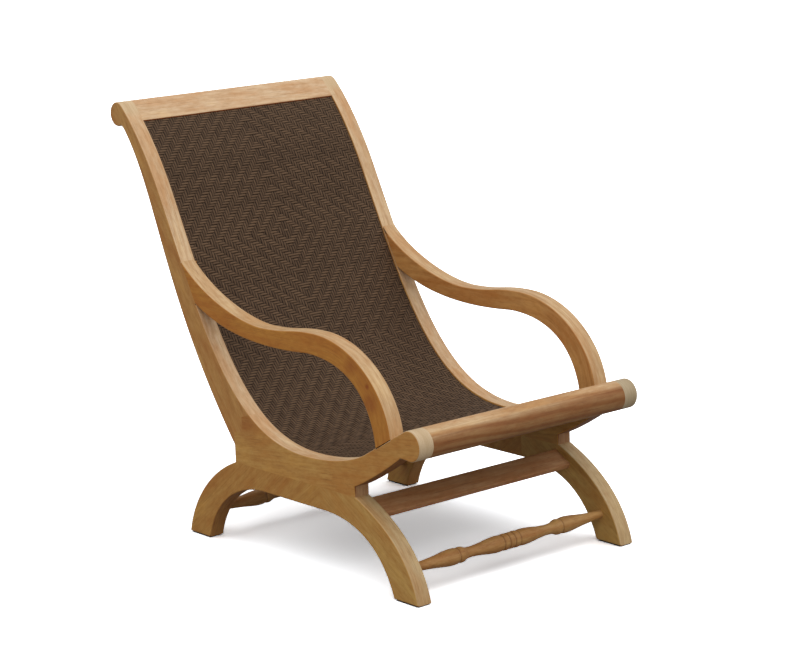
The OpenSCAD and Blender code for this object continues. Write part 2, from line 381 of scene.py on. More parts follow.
def teak_figure_group():
    """Figure of a teak board whose grain runs along the incoming X: growth rings are bands
    of the distance from a far heart line, bent by slow noise; fibres and pores are noise
    drawn out along the grain. Gives band, fibre, pore and patch masks and a height."""
    group = bpy.data.node_groups.new("teak figure", "ShaderNodeTree")
    group.interface.new_socket("Vector", in_out="INPUT", socket_type="NodeSocketVector")
    for label in ("Bands", "Fibres", "Pores", "Patches", "Height"):
        group.interface.new_socket(label, in_out="OUTPUT", socket_type="NodeSocketFloat")
    w = Wiring(group)
    start = w.node("NodeGroupInput").outputs[0]
    bend = w.noise(w.stretched(start, (1.6, 9.0, 9.0)), 1.0, 2.0)
    parts = w.parts(start)
    wobble = w.times(w.math("SUBTRACT", bend, 0.5), 0.17)
    across = w.math("ADD", parts[1], w.math("ADD", wobble, HEART_SIDE))
    through = w.math("ADD", parts[2], HEART_DEPTH)
    distance = w.math("SQRT", w.math("ADD", w.times(across, across), w.times(through, through)))
    taper = w.times(parts[0], 0.035)
    ring = w.math("SINE", w.times(w.math("ADD", distance, taper), RING_RATE))
    bands = w.math("POWER", w.span(ring, -1.0, 1.0), 2.2)
    fine = w.noise(w.stretched(start, (3.2, 420.0, 420.0)), 1.0, 3.0, 0.6)
    broad = w.noise(w.stretched(start, (1.3, 70.0, 70.0)), 1.0, 2.0, 0.55)
    fibres = w.math("ADD", w.times(fine, 0.55), w.times(broad, 0.45))
    pores = w.span(w.noise(w.stretched(start, (11.0, 800.0, 800.0)), 1.0, 1.0), 0.62, 0.74)
    patches = w.noise(w.stretched(start, (6.0, 20.0, 20.0)), 1.0, 5.0, 0.68)
    height = w.math("SUBTRACT", w.times(fibres, 0.7), w.times(pores, 0.8))
    finish = w.node("NodeGroupOutput")
    for index, value in enumerate((bands, fibres, pores, patches, height)):
        group.links.new(value, finish.inputs[index])
    return group


TEAK_FIGURE = teak_figure_group()


def bent_grain(w, where):
    """Grain that follows the bend of an arm: straight back along Y behind the bend's centre,
    and round it ahead of the centre, where the length is the angle times the bend's radius
    and the place across is the distance from the centre. Gives (along, -X, across)."""
    parts = w.parts(where)
    y = w.math("ADD", parts[1], -ARM_BEND[0] * MM)
    z = w.math("ADD", parts[2], -ARM_BEND[1] * MM)
    ahead = w.math("MINIMUM", y, 0.0)
    across = w.math("SQRT", w.math("ADD", w.times(ahead, ahead), w.times(z, z)))
    round_bend = w.times(w.math("ARCTAN2", ahead, z), ARM_BEND[2] * MM)
    along = w.math("ADD", w.math("MAXIMUM", y, 0.0), round_bend)
    return w.node("ShaderNodeCombineXYZ", {0: along, 1: w.times(parts[0], -1.0), 2: across}).outputs[0]


# How far the figure is drawn out along an edge face, and the tones that the figure's masks
# turn a board towards: each is a factor on the board's own tone
EDGE_DRAW = 0.06
DARK_BAND, LIGHT_BAND = rgb(216, 190, 160), rgb(250, 250, 247)
BROWN_PATCH, PALE_PATCH = rgb(226, 188, 142), (1.16, 1.15, 1.04, 1.0)
PORE, MOTTLE, KNOT = rgb(150, 112, 80), rgb(224, 206, 182), rgb(176, 112, 64)
# Dark tone of painted shade in a turned piece's grooves
RING_SHADE = rgb(96, 58, 30)
END_SPECKLE, END_FIBRE = rgb(214, 202, 182), rgb(216, 204, 182)


def along_grain(w, where, angle, offset, on_face):
    """Place with its X along the grain. On edge faces its third part is nearly flat, so the
    figure is drawn out along the edge."""
    if angle is None:
        return w.stretched(where, (1, 1, 1), offset)
    if angle == "bent":
        along = w.stretched(bent_grain(w, where), (1, 1, 1), offset)
    else:
        turned_to_grain = w.stretched(where, (1, 1, 1), (0, 0, 0), (-math.radians(angle), 0, 0))
        along = w.stretched(turned_to_grain, (1, 1, 1), offset, (0, 0, math.radians(-90)))
    third = w.span(on_face, 0, 1, EDGE_DRAW, 1.0)
    drawn_out = w.node("ShaderNodeCombineXYZ", {0: 1.0, 1: 1.0, 2: third}).outputs[0]
    return w.vector("MULTIPLY", along, drawn_out)


def board_tone(w, where, on_face, fibres, face, edge, front, crease_shade, rings, under):
    """Tone of a board before its figure, from the way each face looks: pale edges partly painted
    sheen, and painted shade on edges that look down, on a front below a pale top, on a crease
    face and in turned rings.
    """
    normal = w.node("ShaderNodeNewGeometry").outputs["Normal"]
    facing, place = w.parts(normal), w.parts(where)
    tone = rgb(*edge)
    # Painted shade: edges that look down more than the slope turn to the `under` tone
    if under:
        tone = w.mix(w.span(facing[2], -0.35, under[1]), rgb(*under[0]), tone)
    # Sawn faces take the golden face tone; the edges keep the pale tone, partly painted sheen
    tone = w.mix(on_face, tone, rgb(*face))
    # Painted light and shade: faces that look up past a wavy line keep the pale top, faces that look
    # forward and down take the brown `front` tone
    if front:
        lit_top_edge = w.math("ADD", w.times(place[0], 0.6), 0.64)
        above = w.math("SUBTRACT", facing[2], lit_top_edge)
        above = w.math("ADD", above, w.times(w.math("SUBTRACT", fibres, 0.5), 0.9))
        tone = w.mix(w.span(above, -0.16, 0.16), rgb(*front), tone)
    # Painted shade: the face that looks along the given direction, in the crack where the panel is let
    # in, turns dark
    if crease_shade:
        facing_crease = w.vector("DOT_PRODUCT", normal, (0.0, *crease_shade[0]), output="Value")
        tone = w.mix(w.span(facing_crease, 0.6, 0.9), tone, rgb(*crease_shade[1]))
    # Painted shade: a dark line in each turned groove
    for ring in rings:
        away = w.math("ABSOLUTE", w.math("SUBTRACT", w.math("ABSOLUTE", place[0]), ring * MM))
        tone = w.mix(w.span(away, 2.6 * MM, 0.6 * MM, 0.0, 0.35), tone, RING_SHADE)
    return tone


def from_spot(w, where, spot, across=0.0):
    """Distance in the side view from a spot in mm; `across` is the share of X in it."""
    away = w.vector("SUBTRACT", where, tuple(np.array(spot) * MM))
    return w.vector("LENGTH", w.stretched(away, (across, 1.0, 1.0)), output="Value")


def end_grain_place(name):
    """Centre and radius of the scroll a stile's or a rail's end grain shows on."""
    return (CREST_CENTRE, CREST_R) if "stile" in name else (NOSE_CENTRE, NOSE_R)


def teak(name, angle, face, edge, offset=(0, 0, 0), streak=0.5, knots=(), end_grain=None,
         front=None, crease_shade=None, rings=(), under=None):
    """Oiled teak for one board. `angle` is the grain's rise from +Y in the side view, in
    degrees, "bent" where it follows the arm, or None where it runs across the chair; `face`
    is the tone of the sawn face that looks along X and `edge` the tone of the planed edges,
    paler partly as painted sheen, where the figure is drawn out along the edge. `offset` moves
    the figure and `streak` says how strongly its growth rings show. `knots` are (place, size,
    strength) in mm; `end_grain` is the tone of the edge round a scroll; `front` is a brown tone
    of painted shade on faces that look forward and down, below a pale top; `crease_shade` is
    (direction, tone) of a face painted dark as painted shade; `rings` are the distances from
    the middle of a turned piece's grooves, each drawn as a dark line of painted shade; `under`
    is (tone, slope) of painted shade on edges that look down more than the slope says."""
    material, w = new_material(name)
    where = w.node("ShaderNodeTexCoord").outputs["Object"]
    facing_side = w.math("ABSOLUTE", w.parts(w.node("ShaderNodeNewGeometry").outputs["Normal"])[0])
    on_face = w.span(facing_side, 0.55, 0.85)
    along = along_grain(w, where, angle, offset, on_face)
    figure = w.node("ShaderNodeGroup", node_tree=TEAK_FIGURE)
    w.tree.links.new(along, figure.inputs[0])
    bands, fibres, pores, patches, height = figure.outputs[:5]
    tone = board_tone(w, where, on_face, fibres, face, edge, front, crease_shade, rings, under)
    dark = w.mix(1.0, tone, DARK_BAND, "MULTIPLY")
    light = w.mix(1.0, tone, LIGHT_BAND, "MULTIPLY")
    colour = w.mix(w.times(bands, streak), light, dark)
    colour = w.mix(w.times(w.span(fibres, 0.38, 0.66), 0.5), colour, dark)
    colour = w.shaded(w.times(w.span(patches, 0.44, 0.62), 0.55), colour, tone, BROWN_PATCH)
    colour = w.shaded(w.times(pores, 0.5), colour, tone, PORE)
    colour = w.shaded(w.times(w.span(patches, 0.46, 0.34), 0.6), colour, colour, PALE_PATCH)
    mottle = w.noise(w.stretched(along, (42.0, 120.0, 120.0)), 1.0, 4.0, 0.62)
    colour = w.shaded(w.times(w.span(mottle, 0.44, 0.62), 0.42), colour, colour, MOTTLE)
    for spot, size, strength in knots:
        heart = w.span(from_spot(w, where, spot, 0.1), size * MM, size * 0.25 * MM)
        colour = w.shaded(w.times(heart, w.times(on_face, strength)), colour, tone, KNOT)
    if end_grain:
        grey = w.shaded(w.noise(where, 900.0, 2.0, 0.6), rgb(*end_grain), rgb(*end_grain), END_SPECKLE)
        grey = w.shaded(w.times(w.span(fibres, 0.35, 0.65), 0.7), grey, grey, END_FIBRE)
        centre, radius = end_grain_place(name)
        near = w.span(from_spot(w, where, (0, *centre)), (radius + 16) * MM, (radius + 4) * MM)
        plain_edge = w.math("SUBTRACT", 1.0, on_face)
        colour = w.mix(w.times(near, plain_edge), colour, grey)
    w.surface({"Base Color": colour, "Roughness": w.span(fibres, 0.3, 0.7, 0.50, 0.64),
               "Normal": w.bump(height, 0.25, 0.0006), "Specular IOR Level": 0.35})
    return material


def strand_material(name):
    """Dark brown resin strand: tone by strand from the attribute `tone`, painted shade where the
    attribute `painted_shade` is high, between strands and where one dives under another, and
    fine lines along it from the strand's own UV, metres along by metres round."""
    material, w = new_material(name)
    run = w.node("ShaderNodeUVMap", uv_map="strand").outputs[0]
    tone = w.node("ShaderNodeAttribute", attribute_name="tone").outputs["Fac"]
    painted_shade = w.node("ShaderNodeAttribute", attribute_name="painted_shade").outputs["Fac"]
    lines = w.noise(w.stretched(run, (9.0, 1400.0, 1.0)), 1.0, 2.0, 0.6)
    slow = w.noise(w.stretched(run, (14.0, 60.0, 1.0)), 1.0, 1.0)
    colour = w.mix(tone, rgb(86, 65, 47), rgb(112, 87, 65))
    colour = w.mix(w.span(lines, 0.4, 0.7, 0.0, 0.4), colour, rgb(58, 43, 31))
    colour = w.mix(w.span(slow, 0.4, 0.7, 0.0, 0.3), colour, rgb(112, 88, 66))
    # Painted shade between strands and where a strand dives under another
    colour = w.mix(w.span(painted_shade, 0.15, 0.85, 0.0, 0.93), colour, rgb(22, 11, 4))
    w.surface({"Base Color": colour, "Roughness": w.span(lines, 0.3, 0.7, 0.58, 0.70),
               "Normal": w.bump(lines, 0.3, 0.0003), "Specular IOR Level": 0.15})
    return material


def glide_material():
    """Black moulded foot pads, matt, with a faint pebbled skin."""
    material, w = new_material("black pad")
    where = w.node("ShaderNodeTexCoord").outputs["Object"]
    pebble = w.noise(where, 900.0, 2.0, 0.6)
    cloud = w.noise(where, 40.0, 2.0)
    w.surface({"Base Color": w.mix(cloud, rgb(34, 31, 29), rgb(52, 48, 45)),
               "Roughness": w.span(cloud, 0.3, 0.7, 0.6, 0.75),
               "Normal": w.bump(pebble, 0.3, 0.0003)})
    return material


# ---- Side frames ---------------------------------------------------------------------

face_back = curve(FACE_BACK, 90)
split = curve(FACE_TOP, 2, 0.0, CREST_T)[1]
split_ahead = curve(FACE_TOP, 2, CREST_T, CREST_T + 0.002)
cut_direction = unit(split_ahead[0] - split_ahead[1])


def past_crest_cut(points):
    """Distance below the line square to the face where the crest rail ends."""
    return -(points - split) @ cut_direction


stile_back = curve(STILE_BACK, 70)
back_under_crest = kept(stile_back, past_crest_cut(stile_back))
back_below_crest = kept(stile_back, -past_crest_cut(stile_back))
crest_arc = arc(CREST_CENTRE, CREST_R, 135, -118, 44)


def beyond_stile(points):
    """Distance behind the stile's front face at each point's own height."""
    order = np.argsort(face_back[:, 1])
    return points[:, 0] - np.interp(points[:, 1], face_back[order, 1], face_back[order, 0])


def beyond_rail(points):
    """Distance below the straight face behind the nose, measured square to it."""
    return -(points - NOSE_TANGENT) @ np.array([math.sin(NOSE_SLOPE), math.cos(NOSE_SLOPE)])


# The arm's two lines run a little into the stile and the rail, and are cut where they meet
arm_top = np.concatenate([[[302, 670]], curve(ARM_TOP[0])[:-1], curve(ARM_TOP[1])[:-1],
                          curve(ARM_TOP[2])])
arm_under = np.concatenate([curve(ARM_UNDER[0])[:-1], curve(ARM_UNDER[1]), [[246, 567], [300, 600]]])
for beyond in (beyond_stile, beyond_rail):
    arm_top = kept(arm_top, beyond(arm_top))
    arm_under = kept(arm_under, beyond(arm_under))
arm_seat = face_back[(face_back[:, 1] < arm_top[0, 1]) & (face_back[:, 1] > arm_under[-1, 1])][::-1]
above_arm = face_back[face_back[:, 1] > arm_top[0, 1]]
below_arm = face_back[face_back[:, 1] < arm_under[-1, 1]]

stile = outline(
    (crest_arc, 1, 0),
    ([crest_arc[-1], STILE_BACK[0]], 1, 0),
    (back_under_crest, 1, 0),
    ([back_under_crest[-1], back_below_crest[0]], 1, 1),
    (back_below_crest, 1, 1),
    (JOINT_STEPS, 0, 0),
    (np.concatenate([below_arm[::-1], arm_under[-1:]]), 1, 1),
    (np.concatenate([arm_under[-1:], arm_seat, arm_top[:1]]), 0, 1),
    (np.concatenate([arm_top[:1], above_arm[::-1]]), 1, 1),
    (curve(FACE_TOP, 30, CREST_T, 1.0)[::-1], 1, 1),
    (curve(FACE_TOP, 16, 0.0, CREST_T)[::-1], 1, 0),
)
nose_flat = NOSE_TANGENT - NOSE_FLAT * NOSE_DIR
nose_arc = arc(NOSE_CENTRE, NOSE_R, 61.6, 285, 40)
rail_under = curve(RAIL_UNDER)


def past_nose_cut(points):
    """Distance behind the line square to the face where the nose roll ends."""
    return -(points - nose_flat) @ NOSE_DIR


under_nose = kept(rail_under, past_nose_cut(rail_under))
behind_nose = kept(rail_under, -past_nose_cut(rail_under))
arm_front, arm_heel = arm_top[-1], arm_under[0]
rail = outline(
    (curve(FACE_DIP), 1, 1),
    (curve(FACE_SEAT), 1, 1),
    ([FACE_SEAT[3], arm_heel], 1, 1),
    ([arm_heel, arm_front], 0, 1),
    ([arm_front, nose_flat], 1, 1),
    ([nose_flat, NOSE_TANGENT], 1, 0),
    (nose_arc, 1, 0),
    ([nose_arc[-1], RAIL_UNDER[0]], 1, 0),
    (np.concatenate([under_nose, behind_nose[:1]]), 1, 0),
    (behind_nose, 1, 1),
    ([RAIL_UNDER[3], FRONT_LEG_FRONT[0]], 1, 1),
    ([FRONT_LEG_FRONT[0], REAR_LEG_BACK[3]], 0, 0),
    ([REAR_LEG_BACK[3], JOINT_STEPS[0]], 1, 1),
    (JOINT_STEPS, 0, 0),
)


def above_floor(points):
    """The part of a line that is higher than the foot pads."""
    return kept(points, GLIDE - points[:, 1])


front_leg_front = above_floor(curve(FRONT_LEG_FRONT))
front_leg_arch = above_floor(curve(FRONT_LEG_ARCH))
rear_leg_arch = above_floor(curve(REAR_LEG_ARCH))
rear_leg_back = above_floor(curve(REAR_LEG_BACK))
SEAM_LOW, SEAM_HIGH = [-200, 156], [-200, 208]
front_leg = outline(
    (front_leg_front, 1, 1),
    ([front_leg_front[-1], front_leg_arch[0]], 1, 1),
    (front_leg_arch, 1, 1),
    ([front_leg_arch[-1], SEAM_LOW], 1, 1),
    ([SEAM_LOW, SEAM_HIGH, front_leg_front[0]], 0, 0),
)
rear_leg = outline(
    (rear_leg_arch, 1, 1),
    ([rear_leg_arch[-1], rear_leg_back[0]], 1, 1),
    (rear_leg_back, 1, 1),
    ([rear_leg_back[-1], SEAM_HIGH, SEAM_LOW], 0, 0),
    ([SEAM_LOW, rear_leg_arch[0]], 1, 1),
)
arm = outline(
    (arm_top, 1, 1),
    ([arm_front, arm_heel], 0, 1),
    (arm_under, 1, 1),
    (np.concatenate([arm_under[-1:], arm_seat, arm_top[:1]]), 0, 1),
)

# Pale tone of the planed edges, partly the wood's own and partly painted sheen
PALE = (221, 192, 156)  # planed edges of the stiles and the rails
# Tone and slope of painted shade on the edges of legs and arms that look down
SHADED_EDGE = ((180, 130, 74), 0.1)
EASE = 3.0  # radius of an eased edge
for side, outer in (("left", -HALF_WIDTH), ("right", HALF_WIDTH)):
    inner = math.copysign(INNER_HALF, outer)
    shift = 0.0 if side == "left" else 0.7  # so that no two boards share a figure
    near_joint = ((outer, 70, 312), 55, 0.4)
    arm_knots = (((outer, -385, 466), 9, 0.7), ((outer, -392, 430), 30, 0.45),
                 ((outer, -330, 500), 26, 0.4)) if side == "left" else ()
    board(f"back_stile_{side}", stile, outer, inner, EASE,
          teak(f"teak back stile {side}", 57, (196, 149, 86), PALE, (shift, 0.02, 0.3), 0.35,
               end_grain=(228, 202, 166)))
    # The seat rail's edges that look down carry painted shade
    board(f"seat_rail_{side}", rail, outer, inner, EASE,
          teak(f"teak seat rail {side}", -6, (201, 155, 85), PALE, (shift + 0.31, 0.4, 0.1), 0.35,
               (near_joint,), under=((140, 92, 48), 0.8),
               end_grain=(220, 198, 166) if side == "left" else (192, 176, 148)))
    board(f"rear_leg_{side}", rear_leg, outer, inner, EASE,
          teak(f"teak rear leg {side}", -38, (192, 145, 76), (208, 178, 136),
               (shift + 0.2, 0.1, 0.7), 0.18, under=SHADED_EDGE))
    board(f"front_leg_{side}", front_leg, outer, inner, EASE,
          teak(f"teak front leg {side}", 32, (201, 161, 92), (200, 175, 134),
               (shift + 0.5, 0.3, 0.2), 0.15, under=SHADED_EDGE))
    board(f"arm_{side}", arm, outer, inner, EASE,
          teak(f"teak arm {side}", "bent", (196, 136, 54) if side == "left" else (214, 159, 96),
               (210, 180, 140), (shift + 0.9, 0.6, 0.4), 0.4, arm_knots, under=SHADED_EDGE))

# ---- Rails and stretchers across the chair -------------------------------------------

crest_face = curve(FACE_TOP, 16, 0.0, CREST_T)
crest_section = np.concatenate([crest_arc, back_under_crest, crest_face[::-1][:-1]])
crest_section = soften(crest_section, crest_face[-1], 3.0)
crest_section = soften(crest_section, back_under_crest[-1], 3.0)
nose_section = np.concatenate([nose_arc, under_nose, [nose_flat]])
nose_section = soften(nose_section, nose_flat, 2.5)
along = STRETCHER_WIDTH * np.array([math.cos(STRETCHER_TURN), math.sin(STRETCHER_TURN)])
down = STRETCHER_THICK * np.array([math.sin(STRETCHER_TURN), -math.cos(STRETCHER_TURN)])
stretcher_section = STRETCHER_CORNER + np.array([0 * down, down, down + along, along])
for spot in stretcher_section.copy():
    stretcher_section = soften(stretcher_section, spot, 2.0, 5)


def plain(points):
    """An outline with no eased edge."""
    closed = np.concatenate([points, points[:1]])
    return outline((closed, 0, 0))


# The crest's lower cut face, in the crack where the panel is let in, carries painted shade
board("crest_rail", plain(crest_section), -INNER_HALF, INNER_HALF, 0,
      teak("teak crest rail", None, (202, 174, 139), (222, 193, 159), (0.2, 0.35, 0.1), 0.3,
           crease_shade=(-cut_direction, (176, 98, 46))))
# The nose roll's forward and lower faces carry painted shade below its pale top
board("nose_roll", plain(nose_section), -INNER_HALF, INNER_HALF, 0,
      teak("teak nose roll", None, (204, 176, 140), (210, 181, 143), (0.9, 0.15, 0.2), 1.3,
           front=(160, 119, 76)))
board("flat_stretcher", plain(stretcher_section), -INNER_HALF, INNER_HALF, 0,
      teak("teak flat stretcher", None, (186, 140, 100), (190, 144, 104), (0.5, 0.65, 0.5), 0.45))
for place_name, tone, offset in (("front", (185, 143, 89), (0.3, 0.25, 0.6)),
                                 ("rear", (184, 137, 83), (0.7, 0.45, 0.9))):
    turned(f"{place_name}_spindle", SPINDLES_AT[place_name],
           teak(f"teak {place_name} spindle", None, tone, tone, offset, 0.5, rings=SPINDLE_RINGS))

# ---- Woven panel ---------------------------------------------------------------------


def steps(points):
    """Distances between neighbouring points of a line."""
    return np.linalg.norm(np.diff(points, axis=0), axis=1)


panel_face = np.concatenate([
    curve(FACE_TOP, 300, CREST_T, 1.0)[:-1], curve(FACE_BACK, 600)[:-1],
    curve(FACE_DIP, 300)[:-1], curve(FACE_SEAT, 300)[:-1],
    np.linspace(0, 1, 200)[:, None] * (nose_flat - np.array(FACE_SEAT[3])) + FACE_SEAT[3]])
panel_length = np.append(0.0, np.cumsum(steps(panel_face)))
PANEL = panel_length[-1]
tangent = unit(np.gradient(panel_face, axis=0))
inward = np.stack([-tangent[:, 1], tangent[:, 0]], axis=1)
ABOVE_PANEL = float(np.sum(steps(curve(FACE_TOP, 200, 0.0, CREST_T))))

WARPS = 84
WARP_PITCH = 2 * INNER_HALF / WARPS
WEFTS = int(round(PANEL / 6.4))
WEFT_PITCH = PANEL / WEFTS
TURNS_AT = np.array([378.0, 680.0, 1012.0]) - ABOVE_PANEL  # where the twill's step turns round
STRAND_THICK = 3.7
WOVEN_WIDTH, WRAP_WIDTH = 1.1, 0.9  # width of a strand as a share of the pitch
LIFT = 1.0  # rise and fall of a strand about the middle of the panel
MIDDLE = 6.0  # depth of the panel's middle under the face
SNUG = 0.2  # how far the outer strands of each three sit towards the middle one
# Wefts are paler and warps darker: painted light on the floats across and painted shade on the floats
# along
WEFT_PALENESS, WARP_PALENESS = 0.7, 0.25


def panel_point(x, s, deep):
    """Point at x across, s along the face and `deep` under it: the face's own point at s
    moved that far along its inward normal. Metres."""
    y = np.interp(s, panel_length, panel_face[:, 0]) + deep * np.interp(s, panel_length, inward[:, 0])
    z = np.interp(s, panel_length, panel_face[:, 1]) + deep * np.interp(s, panel_length, inward[:, 1])
    return np.stack([x + 0 * y, y, z], axis=-1) * MM


rows, columns = np.arange(WEFTS), np.arange(WARPS)
ROW_AT = (rows + 0.5) * WEFT_PITCH - SNUG * (rows % 3 - 1)
COLUMN_AT = (columns + 0.5) * WARP_PITCH - INNER_HALF - SNUG * (columns % 3 - 1)


def weave_rule():
    """1 where the strand across lies on top and -1 where it lies below, rows by columns:
    three over, three under, stepping one strand a row. The step turns round at the centre
    line and at three rows, so the row number is folded there and the column is counted
    from the centre."""
    from_centre = np.where(columns < WARPS // 2, WARPS // 2 - 1 - columns, columns - WARPS // 2)
    turns = np.round(TURNS_AT / WEFT_PITCH).astype(int)
    heading = np.where((rows[:, None] >= turns).sum(axis=1) % 2 == 0, 1, -1)
    folded = np.cumsum(heading)
    return np.where((from_centre[None, :] - folded[:, None]) % 6 < 3, 1.0, -1.0)


# Section of a strand, and how much painted shade each of its points takes on its low and
# its high edge
SECTION = np.array([[-0.5, -0.2], [-0.5, 0.2], [-0.34, 0.4], [0.0, 0.5], [0.34, 0.4],
                    [0.5, 0.2], [0.5, -0.2], [0.34, -0.4], [0.0, -0.5], [-0.34, -0.4]])
LOW_EDGE = np.array([1.0, 1.0, 0.6, 0.0, 0.0, 0.0, 0.0, 0.0, 0.0, 0.6])
HIGH_EDGE = np.array([0.0, 0.0, 0.0, 0.0, 0.6, 1.0, 1.0, 0.6, 0.0, 0.0])
# Painted shade on an edge inside a three; an edge between threes has 1
CLOSE_EDGE = 0.95  # darkness of an edge inside a three, where one between threes has 1


def crossing_heights(sign):
    """Heights of a strand at its crossings along the last axis: 0.6 of its own side plus
    0.2 of each neighbour's, so every float is arched."""
    padded = np.concatenate([sign[:, :1], sign, sign[:, -1:]], axis=1)
    return LIFT * (0.6 * padded[:, 1:-1] + 0.2 * (padded[:, :-2] + padded[:, 2:]))


def strands(name, centre_line, sideways, outward, width, seed, dive_shade=0.0, gaps=0, paleness=0.5):
    """Flat strands: each keeps one section, a flattened ring, carried along its own line of
    points. centre_line, sideways and outward are (strands, points, 3) in metres; the ring's
    first coordinate goes sideways by the width and its second outward by the thickness.
    `painted_shade` is painted shade: high where a strand passes under another (`dive_shade`,
    one value a point) and on its edges, most on the edge that faces the gap between two threes:
    the high edge where `gaps` is 1, the low one where it is -1. `paleness` is the middle of the
    strands' tones."""
    count, length, _ = centre_line.shape
    ring = len(SECTION)
    places = (centre_line[:, :, None, :]
              + sideways[:, :, None, :] * (SECTION[:, 0, None] * width * MM)
              + outward[:, :, None, :] * (SECTION[:, 1, None] * STRAND_THICK * MM))
    i, j, k = np.meshgrid(np.arange(count), np.arange(length - 1), np.arange(ring), indexing="ij")
    nxt = (k + 1) % ring
    base = (i * length + j) * ring
    walls = np.stack([base + k, base + nxt, base + ring + nxt, base + ring + k],
                     axis=-1).reshape(-1, 4)
    head = (np.arange(count) * length * ring)[:, None] + np.arange(ring)
    tail = head + (length - 1) * ring
    travel = centre_line[0, 1] - centre_line[0, 0]
    facing = float(np.dot(np.cross(sideways[0, 0], outward[0, 0]), travel))
    if facing > 0:
        walls = walls[:, ::-1]
        caps = [head, tail[:, ::-1]]
    else:
        caps = [head[:, ::-1], tail]
    vertices = places.reshape(-1, 3)
    mesh = bpy.data.meshes.new(name)
    loops = np.concatenate([walls.ravel(), caps[0].ravel(), caps[1].ravel()]).astype(np.int32)
    sizes = np.concatenate([np.full(len(walls), 4), np.full(2 * count, ring)])
    mesh.vertices.add(len(vertices))
    mesh.vertices.foreach_set("co", vertices.ravel())
    mesh.loops.add(len(loops))
    mesh.loops.foreach_set("vertex_index", loops)
    mesh.polygons.add(len(sizes))
    starts = np.concatenate([[0], np.cumsum(sizes)[:-1]]).astype(np.int32)
    mesh.polygons.foreach_set("loop_start", starts)
    mesh.update(calc_edges=True)
    mesh.validate()
    random = np.random.default_rng(seed)
    along = np.linalg.norm(np.diff(centre_line, axis=1), axis=2)
    along = np.concatenate([np.zeros((count, 1)), np.cumsum(along, axis=1)], axis=1)
    shift = random.uniform(0, 3, (count, 1))
    u = np.broadcast_to((along + shift)[:, :, None], (count, length, ring)).ravel()
    v = np.broadcast_to((np.arange(ring) * 0.0016 + random.uniform(0, 3, (count, 1)))[:, None, :],
                        (count, length, ring)).ravel()
    layer = mesh.uv_layers.new(name="strand")
    used = np.empty(len(mesh.loops), dtype=np.int32)
    mesh.loops.foreach_get("vertex_index", used)
    layer.uv.foreach_set("vector", np.stack([u[used], v[used]], axis=1).astype(np.float32).ravel())
    painted_shade = mesh.attributes.new("painted_shade", "FLOAT", "POINT")
    deep = np.broadcast_to(np.asarray(dive_shade, float), (count, length))[:, :, None]
    facing_gap = np.broadcast_to(np.asarray(gaps), (count,))[:, None, None]
    high = np.where(facing_gap == 1, 1.0, CLOSE_EDGE) * HIGH_EDGE
    low = np.where(facing_gap == -1, 1.0, CLOSE_EDGE) * LOW_EDGE
    painted_shade.data.foreach_set("value", np.maximum(high + low, deep).astype(np.float32).ravel())
    tone = mesh.attributes.new("tone", "FLOAT", "POINT")
    tones = np.clip(random.normal(paleness, 0.28, (count, 1, 1)), 0, 1)
    tones = np.broadcast_to(tones, (count, length, ring)).astype(np.float32)
    tone.data.foreach_set("value", tones.ravel())
    placed(name, mesh, STRAND, "woven_panel")


def face_frame(s):
    """Unit directions along the face and out of it at s, as rows of [0, y, z]."""
    y, z = (np.interp(s, panel_length, part) for part in inward.T)
    out = unit(np.stack([0 * y, -y, -z], axis=-1))
    return np.cross(out, [1.0, 0.0, 0.0]), out


def woven(names, seed, x, s, heights, across, pitch, gaps, paleness):
    """The strands of one direction, as two pieces. A strand rises and falls by the heights
    about the panel's middle, at its crossings at x and s and at its two ends, which keep the
    height of the nearest crossing. `across` says that its width lies across the chair."""
    heights = np.concatenate([heights[:, :1], heights, heights[:, -1:]], axis=1)
    x, s = np.broadcast_to(x, heights.shape), np.broadcast_to(s, heights.shape)
    lines = panel_point(x, s, MIDDLE - heights)
    down_face, out = face_frame(s)
    sideways = np.broadcast_to([1.0, 0.0, 0.0], lines.shape) if across else down_face
    # Painted shade where a strand dives under the other
    dive_shade = np.clip(0.3 - 0.9 * heights / LIFT, 0, 1)
    half = len(lines) // 2
    for number, (name, part) in enumerate(zip(names, (slice(None, half), slice(half, None)))):
        strands(name, lines[part], sideways[part], out[part], WOVEN_WIDTH * pitch, seed + number,
                dive_shade[part], gaps[part], paleness)


STRAND = strand_material("brown strand")
on_top = weave_rule()
# The strands stop just short of the panel's own edges
weft_x = np.concatenate([[-INNER_HALF + 0.2], COLUMN_AT, [INNER_HALF - 0.2]])
warp_s = np.concatenate([[0.3], ROW_AT, [PANEL - 0.3]])
woven(("weave_across_back", "weave_across_seat"), 11, weft_x, ROW_AT[:, None],
      crossing_heights(on_top), False, WEFT_PITCH, 1 - rows % 3, WEFT_PALENESS)
woven(("weave_along_left", "weave_along_right"), 13, COLUMN_AT[:, None], warp_s,
      crossing_heights(-on_top.T), True, WARP_PITCH, columns % 3 - 1, WARP_PALENESS)

# ---- Battens and the strands drawn round them ----------------------------------------

# Depths of a batten's two faces under the panel's face, and its width
BATTEN_NEAR, BATTEN_FAR, BATTEN_WIDTH = 9.0, 23.0, 18.0
BATTEN_TONE = (168, 128, 88)
batten_wood = teak("batten wood", 57, BATTEN_TONE, BATTEN_TONE, (0.1, 0.8, 0.3), 0.4)
batten_wood_across = teak("batten wood across", None, BATTEN_TONE, BATTEN_TONE, (0.6, 0.2, 0.3), 0.4)


def strip(s0, s1, near, far, count):
    """Closed outline of a strip that follows the face from s0 to s1 between two depths."""
    s = np.linspace(s0, s1, count)
    upper, lower = panel_point(0.0 * s, s, near)[:, 1:], panel_point(0.0 * s, s, far)[:, 1:]
    return plain(np.concatenate([upper, lower[::-1]]) / MM)


